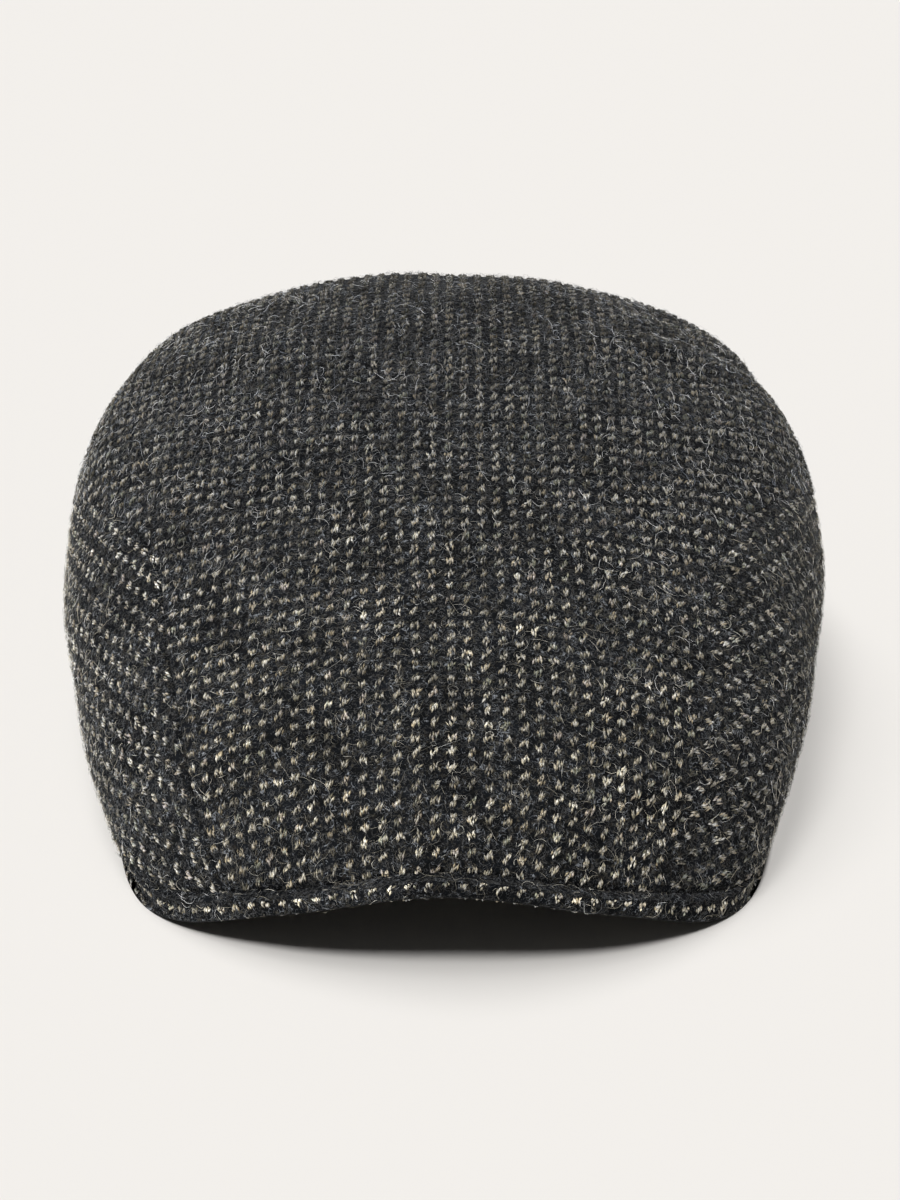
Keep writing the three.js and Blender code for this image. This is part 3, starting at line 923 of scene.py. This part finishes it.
def fibre_lines(tree, spacing, width, broken, own):
    """Curly single fibres lying on the cloth: thin lines where a cloudy noise passes its middle value,
    kept only in patches so that they read as separate hairs. Each set has a noise of its own."""
    clouds = {"Vector": add(tree, "TexCoord")["Object"], "W": own, "Detail": 1.0}
    cloud = add(tree, "TexNoise", {**clouds, "Scale": 1 / spacing, "Roughness": 0.5, "Distortion": 0.6},
                noise_dimensions="4D")[0]
    off = add(tree, "Math", {0: cloud, 1: 0.5}, operation="SUBTRACT")
    size = add(tree, "Math", {0: off}, operation="ABSOLUTE")
    line = add(tree, "MapRange", {0: size, 1: 0.0, 2: width, 3: 1.0, 4: 0.0},
               interpolation_type="SMOOTHSTEP")
    patch = add(tree, "TexNoise", {**clouds, "Scale": 0.7 / spacing}, noise_dimensions="4D")[0]
    kept = add(tree, "MapRange", {0: patch, 1: broken, 2: broken + 0.06, 3: 0.0, 4: 1.0})
    return add(tree, "Math", {0: line[0], 1: kept[0]}, operation="MULTIPLY")


def fibre_layers(tree, colours, fibres):
    """Each set of single fibres as a pair: where it lies, and its colour."""
    return [(fibre_lines(tree, spacing * MM, *rest), getattr(colours, name))
            for name, spacing, *rest in fibres]


def wool_shader(tree, colour, height, distance, sheen):
    """Wool: fully rough, hardly any gloss, and a sheen where fibres that stand up catch light at a low
    angle."""
    bump = add(tree, "Bump", {"Strength": 1.0, "Distance": distance, "Height": height})
    surface = add(tree, "BsdfPrincipled", {"Base Color": colour, "Roughness": 0.9, "IOR": 1.54,
                                           "Specular IOR Level": 0.04, "Sheen Weight": sheen,
                                           "Sheen Roughness": 0.15, "Sheen Tint": (0.95, 0.97, 1.0, 1.0),
                                           "Normal": bump})
    add(tree, "OutputMaterial", {"Surface": surface})


def new_material(name):
    """An empty node material."""
    material = bpy.data.materials.new(name)
    material.use_nodes = True
    material.node_tree.nodes.clear()
    return material, material.node_tree


def ground_tweed(colours, sizes):
    """Wool tweed, woven and brushed. The eye gets a charcoal ground with navy, brown and olive fibres
    mixed through it, soft bumps of the interlacing yarns, and loose hairs of every tone. The hairs are
    drawn about three times as thick as real ones, so that they show."""
    material, tree = new_material("wool_tweed_woven_and_brushed")
    place = add(tree, "TexCoord")["Object"]
    navy = add(tree, "TexNoise", {"Vector": place, "Scale": 1 / (2.4 * MM), "Detail": 3.0})[0]
    brown = add(tree, "TexNoise", {"Vector": place, "Scale": 1 / (1.5 * MM), "Detail": 2.0})[0]
    navy = add(tree, "MapRange", {0: navy, 1: 0.4, 2: 0.62})[0]
    brown = add(tree, "MapRange", {0: brown, 1: 0.58, 2: 0.76, 4: 0.7})[0]
    fibres = fibre_layers(tree, colours, GROUND_FIBRES)
    layers = [(navy, colours.navy), (brown, colours.brown), *fibres]
    colour = layered(tree, opaque(colours.charcoal), layers)
    patch = add(tree, "TexNoise", {"Vector": place, "Scale": 1 / (16 * MM), "Detail": 1.0})[0]
    patch = add(tree, "MapRange", {0: patch, 1: 0.35, 2: 0.65, 3: 0.72, 4: 1.28})[0]
    colour = shaded(tree, colour, patch)
    weave = add(tree, "UVMap", uv_map="weave")
    scale = (4 * math.pi / sizes.column_pitch, 4 * math.pi / sizes.row_pitch, 1)
    turns = add(tree, "Mapping", {"Vector": weave, "Scale": scale})
    across = add(tree, "SeparateXYZ", {0: turns})
    over = add(tree, "Math", {0: across[0]}, operation="SINE")
    under = add(tree, "Math", {0: across[1]}, operation="SINE")
    yarns = add(tree, "Math", {0: over, 1: under}, operation="MULTIPLY")
    height = add(tree, "Math", {0: yarns, 1: 0.4}, operation="MULTIPLY")
    for fibre, _ in fibres:
        height = add(tree, "Math", {0: height, 1: fibre}, operation="ADD")
    wool_shader(tree, colour, height, 0.2 * MM, 0.06)
    return material


def fleck_yarn(colours):
    """Woollen fleck yarn, loosely spun. The eye gets short plump strokes from cream to grey-brown,
    unevenly streaked, with the ground's dark and pale hairs lying over them."""
    material, tree = new_material("woollen_yarn_loosely_spun")
    place = add(tree, "TexCoord")["Object"]
    yarn = add(tree, "Attribute", attribute_name="yarn")["Color"]
    streak = add(tree, "TexNoise", {"Vector": place, "Scale": 1 / (0.5 * MM), "Detail": 2.0})[0]
    streak = add(tree, "MapRange", {0: streak, 1: 0.3, 2: 0.7, 3: 0.65, 4: 1.2})[0]
    colour = layered(tree, shaded(tree, yarn, streak), fibre_layers(tree, colours, FLECK_FIBRES))
    wool_shader(tree, colour, streak, 0.1 * MM, 0.05)
    return material


def nap_fibre():
    """Wool fibre, brushed up. The eye gets fine curly hairs, mostly grey, some nearly white, that soften
    the cap's outline. They are drawn about twice as thick as real ones, so that they show."""
    material, tree = new_material("wool_fibre_brushed_up")
    yarn = add(tree, "Attribute", attribute_name="yarn")["Color"]
    place = add(tree, "TexCoord")["Object"]
    uneven = add(tree, "TexNoise", {"Vector": place, "Scale": 1 / (0.8 * MM), "Detail": 1.0})[0]
    shade = add(tree, "MapRange", {0: uneven, 1: 0.3, 2: 0.7, 3: 0.7, 4: 1.2})[0]
    wool_shader(tree, shaded(tree, yarn, shade), uneven, 0.02 * MM, 0.06)
    return material


def length_property(name, description, millimetres):
    """A size in Blender's length unit."""
    return FloatProperty(name=name, description=description, default=millimetres * MM, min=0.0,
                         precision=5, unit="LENGTH")


def colour_property(name, description, code):
    """A colour from its sRGB hex value."""
    return FloatVectorProperty(name=name, description=description, default=linear(code), size=3, min=0.0,
                               max=1.0, subtype="COLOR")


def strength_property(name, description, value):
    """The strength of a light."""
    return FloatProperty(name=name, description="Strength of " + description, default=value)


class FlatCapSizes(bpy.types.PropertyGroup):
    """Sizes of the cloth and its weave."""

    cloth: length_property("Cloth", "Thickness of the tweed", 1.8)
    hem: length_property("Hem", "Thickness of the turned-up hem", 3.0)
    spacing: length_property("Grid spacing", "Distance between points on a panel's face", 1.6)
    column_pitch: length_property("Column pitch", "Distance between columns of flecks", 4.2)
    row_pitch: length_property("Row pitch", "Distance between rows of flecks", 3.8)
    stroke_length: length_property("Stroke length", "Length of one stroke of a fleck", 2.6)
    stroke_width: length_property("Stroke width", "Width of one stroke of a fleck", 0.95)
    stroke_height: length_property("Stroke height", "Thickness of one stroke of a fleck", 0.42)
    fibre_width: length_property("Fibre width", "Thickness that a hair of the nap is drawn with", 0.055)
    nap_height: length_property("Nap height", "Height to which hairs stand up", 0.9)


class FlatCapColours(bpy.types.PropertyGroup):
    """Colours of the yarns and fibres."""

    charcoal: colour_property("Charcoal", "Darkest wool of the ground", "#070809")
    navy: colour_property("Navy", "Blue-black wool of the ground", "#0c0e11")
    brown: colour_property("Brown", "Brown wool mixed into the ground", "#1f1c19")
    hair_grey: colour_property("Grey hair", "Grey hairs in the ground", "#373737")
    hair_olive: colour_property("Olive hair", "Olive-brown hairs in the ground", "#312f2a")
    hair_blue: colour_property("Blue hair", "Slate hairs of the nap", "#66696d")
    hair_mid: colour_property("Mid-grey hair", "Usual hairs of the nap", "#66635d")
    hair_pale: colour_property("Pale hair", "Pale hairs in the ground", "#928e84")
    hair_white: colour_property("White hair", "Palest hairs of the nap", "#c9c7c1")
    beige: colour_property("Beige", "Usual colour of a fleck", "#aeaaa2")
    cream: colour_property("Cream", "Palest flecks", "#cfccc3")
    tan: colour_property("Tan", "Warm flecks", "#b3aa9a")
    olive: colour_property("Olive", "Greenish flecks", "#999b90")
    pink: colour_property("Dusty pink", "Pinkish flecks", "#aaa29c")
    grey: colour_property("Grey", "Dull flecks", "#98958e")
    umber: colour_property("Umber", "Dark flecks", "#716f67")


class FlatCapStage(bpy.types.PropertyGroup):
    """The floor and the light."""

    floor: colour_property("Floor", "Colour of the paper floor", "#e6e3df")
    beyond: colour_property("Beyond", "Tone of the paper past the floor's edge", "#f2efea")
    key: strength_property("Key light", "the light overhead", 1.52)
    side: strength_property("Side light", "the light from the cap's right", 8.2)
    paper: strength_property("Paper light", "the light on the paper from the front", 1.97)
    shade: strength_property("Shade light", "the soft light on the paper from overhead", 0.8)
    corner: strength_property("Corner light", "the light on the paper from behind", 0.82)
    rim: strength_property("Rim light", "the light from behind the cap's left", 3.2)
    fill: strength_property("Fill light", "the light from all round", 0.058)


PANELS = {
    "top": ("top_panel", "tweed_top"),
    "left": ("side_panel_left", "tweed_side_left"),
    "right": ("side_panel_right", "tweed_side_right"),
}


def ground_material(context):
    """The ground tweed, made once."""
    known = bpy.data.materials.get("wool_tweed_woven_and_brushed")
    return known or ground_tweed(context.scene.flat_cap_colours, context.scene.flat_cap_sizes)


def sew(context, name):
    """Sews one panel of the crown in place of its solid."""
    sizes = context.scene.flat_cap_sizes
    node, piece_name = PANELS[name]
    points, groups = shell(cloths()[name], sizes.spacing / MM, sizes.cloth / MM, sizes.hem / MM)
    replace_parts(make_piece(piece_name, points, groups, ground_material(context)), node)


class FLATCAP_OT_sew_top(bpy.types.Operator):
    """Sew the top panel, from the peak to the lower edge at the back"""

    bl_idname = "flat_cap.sew_top"
    bl_label = "Sew top panel"

    def execute(self, context):
        sew(context, "top")
        return {"FINISHED"}


class FLATCAP_OT_sew_sides(bpy.types.Operator):
    """Sew the two side panels under their arched seams"""

    bl_idname = "flat_cap.sew_sides"
    bl_label = "Sew side panels"

    def execute(self, context):
        sew(context, "left")
        sew(context, "right")
        return {"FINISHED"}


class FLATCAP_OT_cover_peak(bpy.types.Operator):
    """Cover the peak in the same tweed, round its lip and underneath"""

    bl_idname = "flat_cap.cover_peak"
    bl_label = "Cover peak"

    def execute(self, context):
        points, groups = peak_shell(context.scene.flat_cap_sizes.spacing / MM)
        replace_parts(make_piece("tweed_peak", points, groups, ground_material(context)), "peak")
        return {"FINISHED"}


def on_lip(place):
    """The part of the peak's upper cover that isn't hidden under the crown."""
    return place[:, 0] < LIP_SHOWN


def on_nose(place):
    """The rounded front of the lip, short of the crease under the crown and of its narrow ends."""
    return (place[:, 0] < NOSE_SHARE + LIP_CREASE) & (np.abs(2 * place[:, 1] - 1) < LIP_ENDS)


def anywhere(place):
    """All of a cloth."""
    return np.ones(len(place), dtype=bool)


def to_rim(name, place):
    """How far across a side panel a place is, from the seam to the rim, and 0 on the other lengths."""
    return {"left": place[:, 1], "right": 1 - place[:, 1]}.get(name, np.zeros(len(place)))


def cooler(name, place, elsewhere, strength):
    """How the wool's colour turns cooler from the front of the top panel to the back, as a factor, and a
    fixed share of that change elsewhere."""
    back = np.full((len(place), 1), elsewhere)
    if name == "top":
        back = smoothstep(place[:, :1], 0, COOLER_FULL)
    return 1 - strength * (back - COOLER_MIDDLE) * COOLER


def brushed(name, rng, place):
    """Which hairs of a panel are kept: all of them on the top, and on a side panel more of them towards
    the rim, where hands rub the nap up."""
    share = SEAM_NAP + (1 - SEAM_NAP) * smoothstep(to_rim(name, place), *NAP_FULL)
    return rng.random(len(place)) < (1.0 if name == "top" else share)


class FLATCAP_OT_weave_flecks(bpy.types.Operator):
    """Weave the pale flecks into every length of tweed"""

    bl_idname = "flat_cap.weave_flecks"
    bl_label = "Weave flecks"

    def execute(self, context):
        colours = context.scene.flat_cap_colours
        material = fleck_yarn(colours)
        palette = np.array([getattr(colours, name) for name in FLECK_SHARES])
        shares = list(FLECK_SHARES.values())
        for turn, (name, cloth) in enumerate(cloths().items()):
            rng = np.random.default_rng(SEED + turn)
            shown = on_nose if name == "lip" else anywhere
            strand, cells, ply, place = fleck_strands(cloth, context.scene.flat_cap_sizes, rng, shown)
            count = len(cells)
            usual = rng.choice(len(palette), len(place), p=shares)[cells]
            keeps = rng.random(count) < OWN_COLOUR
            kind = np.where(keeps, usual, rng.choice(len(palette), count, p=shares))
            bright = rng.uniform(*CELL_BRIGHT, len(place))[cells] * rng.uniform(*PLY_BRIGHT, count)
            inner = np.abs(PLIES[ply]) < INNER_PLIES
            bright = bright * np.where(inner, INNER_BRIGHT, OUTER_BRIGHT)
            # The left side panel's flecks are darker as painted shade and the lip's lighter as painted
            # light; the flecks also darken towards the back of the top and towards the rims.
            pale, lost, start, full = FLECK_FADE_AND_PAINTED_LIGHT[name]
            way = place[:, 0] if name == "top" else to_rim(name, place)
            fade_and_painted_light = pale - lost * smoothstep(way, start, full)
            bright = bright * (fade_and_painted_light * (1 + waves(PATCHES, cloth.face(*place.T))))[cells]
            cool = cooler(name, place[cells], *(LIP_COOLER if name == "lip" else FLECK_COOLER))
            tone = palette[kind] * bright[:, None] * cool
            tone = tone * np.where(inner[:, None], 1.0, OUTER_PLY)
            lay_strands("flecks_" + name, cloth, strand, tone, PLY_SHADES, material)
        return {"FINISHED"}


class FLATCAP_OT_raise_nap(bpy.types.Operator):
    """Brush up the nap on every length of tweed"""

    bl_idname = "flat_cap.raise_nap"
    bl_label = "Raise nap"

    def execute(self, context):
        colours = context.scene.flat_cap_colours
        material = nap_fibre()
        palette = np.array([getattr(colours, name) for name in NAP_SHARES])
        shares = np.array(list(NAP_SHARES.values()))
        painted_sheen_strength, start, full = SIDE_PAINTED_SHEEN
        for kind, (prefix, hair) in enumerate((("fuzz_", FUZZ), ("hair_", HAIR))):
            for turn, (name, cloth) in enumerate(cloths().items()):
                rng = np.random.default_rng(NAP_SEED + 10 * kind + turn)
                density = hair[-1][name]
                shown = functools.partial(brushed, name, rng) if name in PANELS else on_lip
                strand = nap_strands(cloth, context.scene.flat_cap_sizes, hair, density, rng, shown)
                tone = palette[rng.choice(len(palette), len(strand[0]), p=shares[:, kind])]
                spot = strand[0][:, 1]
                points = cloth.face(*spot.T)
                # Painted sheen and side light: the nap is made lighter towards the cap's sides.
                painted_sheen_place = smoothstep(np.abs(points[:, 0]), start, full)
                light = 1 + waves(PATCHES, points) + painted_sheen_strength * painted_sheen_place
                tone = np.minimum(tone * light[:, None] * cooler(name, spot, *NAP_COOLER), PALEST)
                shades = np.ones(2 + HAIR_SIDES * (hair[1] - 2))
                lay_strands(prefix + name, cloth, strand, tone, shades, material)
        return {"FINISHED"}


class FLATCAP_OT_set_stage(bpy.types.Operator):
    """Lay the paper floor, hang the soft light and set up the camera"""

    bl_idname = "flat_cap.set_stage"
    bl_label = "Set stage"

    def execute(self, context):
        scene = context.scene
        look = scene.flat_cap_stage
        scene.view_settings.view_transform = "Standard"
        lay_floor(scene, look)
        hang_light(scene, look)
        aim_camera(scene)
        return {"FINISHED"}


def lay_floor(scene, look):
    """A wide disc of matt paper: a fan of rings that grow outwards, flat at the cap's foot."""
    turn = np.linspace(0, 2 * np.pi, FLOOR_SIDES + 1)[:-1]
    reach = FLOOR_RINGS[:, None]
    rings = np.stack([reach * np.cos(turn), reach * np.sin(turn), 0 * reach * turn], axis=2)
    numbers = np.arange(rings[..., 0].size).reshape(len(reach), -1)
    numbers = np.concatenate([numbers, numbers[:, :1]], axis=1)
    faces = [numbers[0, :-1].tolist()] + corners(numbers)[:, ::-1].tolist()
    mesh = bpy.data.meshes.new("floor")
    mesh.from_pydata(rings.reshape(-1, 3).tolist(), [], faces)
    material, tree = new_material("paper_matt")
    place = add(tree, "TexCoord")["Object"]
    grain = add(tree, "TexNoise", {"Vector": place, "Scale": 1 / (4 * MM), "Detail": 2.0})[0]
    bump = add(tree, "Bump", {"Strength": 0.05, "Distance": 0.05 * MM, "Height": grain})
    surface = add(tree, "BsdfPrincipled", {"Base Color": opaque(look.floor), "Roughness": 1.0,
                                           "Specular IOR Level": 0.0, "Normal": bump})
    add(tree, "OutputMaterial", {"Surface": surface})
    mesh.materials.append(material)
    floor = bpy.data.objects.new("floor", mesh)
    scene.collection.objects.link(floor)


def hang_lamp(scene, name, strength, width, pitch, roll):
    """A far soft light: width is the angle that it fills, pitch how far it leans to the front and roll
    to the cap's right."""
    light = bpy.data.lights.new(name, "SUN")
    light.energy = strength
    light.angle = math.radians(width)
    lamp = bpy.data.objects.new(name, light)
    lamp.rotation_euler = (math.radians(pitch), math.radians(-roll), 0)
    scene.collection.objects.link(lamp)
    return lamp


def hang_light(scene, look):
    """A soft light overhead, a large one at the cap's right and one behind its left light the cap. Three
    more light the paper: one from the front, which only the peak shades, a soft one overhead and one
    from behind the cap's right, which the peak and the left side panel shade, so that the floor stays
    light beside the cap. A weak fill comes from all round, and the camera sees the paper's own tone
    beyond the floor's edge."""
    sets = {name: bpy.data.collections.new(name) for name in ("cap", "paper", *SHADED_BY)}
    for piece in scene.collection.objects:
        if piece.type == "MESH":
            sets["paper" if piece.name == "floor" else "cap"].objects.link(piece)
    for name, pieces in SHADED_BY.items():
        for piece_name in pieces:
            sets[name].objects.link(bpy.data.objects[piece_name])
    for name, (width, pitch, roll, lit, blockers) in LAMPS.items():
        lamp = hang_lamp(scene, name + "_light", getattr(look, name), width, pitch, roll)
        lamp.light_linking.receiver_collection = sets[lit]
        lamp.light_linking.blocker_collection = sets.get(blockers)
    world = bpy.data.worlds.new("studio")
    world.use_nodes = True
    tree = world.node_tree
    tree.nodes.clear()
    dim = add(tree, "Background", {"Color": (1.0, 1.0, 1.0, 1.0), "Strength": look.fill})
    paper = add(tree, "Background", {"Color": opaque(look.beyond), "Strength": 1.0})
    seen = add(tree, "LightPath")["Is Camera Ray"]
    both = add(tree, "MixShader", {0: seen, 1: dim, 2: paper})
    add(tree, "OutputWorld", {"Surface": both})
    scene.world = world


def aim_camera(scene):
    """A camera in front of the cap and above it, looking down at it by 27 degrees."""
    data = bpy.data.cameras.new("camera")
    data.sensor_width = SENSOR_WIDTH
    data.lens = FOCAL_PIXELS / IMAGE_HEIGHT * SENSOR_WIDTH
    data.clip_start = 0.01
    camera = bpy.data.objects.new("camera", data)
    x, y, z = CAMERA_AIM
    back = CAMERA_REACH * math.cos(CAMERA_PITCH)
    up = CAMERA_REACH * math.sin(CAMERA_PITCH)
    camera.location = (x, y - back, z + up)
    camera.rotation_euler = (math.pi / 2 - CAMERA_PITCH, 0, 0)
    scene.collection.objects.link(camera)
    scene.camera = camera


class FLATCAP_PT_panel(bpy.types.Panel):
    """Steps of making the cap, in order"""

    bl_label = "Flat cap"
    bl_idname = "FLATCAP_PT_panel"
    bl_space_type = "VIEW_3D"
    bl_region_type = "UI"
    bl_category = "Flat cap"

    def draw(self, context):
        for group in GROUPS:
            settings = getattr(context.scene, group)
            box = self.layout.box()
            for name in settings.__annotations__:
                box.prop(settings, name)
        for operator in OPERATORS:
            self.layout.operator(operator.bl_idname)


OPERATORS = (FLATCAP_OT_sew_top, FLATCAP_OT_sew_sides, FLATCAP_OT_cover_peak, FLATCAP_OT_weave_flecks,
             FLATCAP_OT_raise_nap, FLATCAP_OT_set_stage)
GROUPS = {"flat_cap_sizes": FlatCapSizes, "flat_cap_colours": FlatCapColours,
          "flat_cap_stage": FlatCapStage}


def register():
    """Makes the settings, operators and panel known to Blender."""
    for kind in (*GROUPS.values(), *OPERATORS, FLATCAP_PT_panel):
        bpy.utils.register_class(kind)
    for name, kind in GROUPS.items():
        setattr(bpy.types.Scene, name, PointerProperty(type=kind))


def unregister():
    """Takes them away again."""
    for name in GROUPS:
        delattr(bpy.types.Scene, name)
    for kind in (FLATCAP_PT_panel, *reversed(OPERATORS), *GROUPS.values()):
        bpy.utils.unregister_class(kind)


def declare_sheets():
    """Works out the flat size and area that each panel's cloth was cut to, but hands them to nothing."""
    for name, (_, piece_name) in PANELS.items():
        cloth = cloths()[name]
        tuple(cloth.flat_size() * MM)
        cloth.flat_area() * MM * MM


def main():
    """Makes the whole cap and its stage."""
    register()
    bpy.ops.flat_cap.sew_top()
    bpy.ops.flat_cap.sew_sides()
    bpy.ops.flat_cap.cover_peak()
    bpy.ops.flat_cap.weave_flecks()
    bpy.ops.flat_cap.raise_nap()
    bpy.ops.flat_cap.set_stage()
    declare_sheets()


if __name__ == "__main__":
    main()
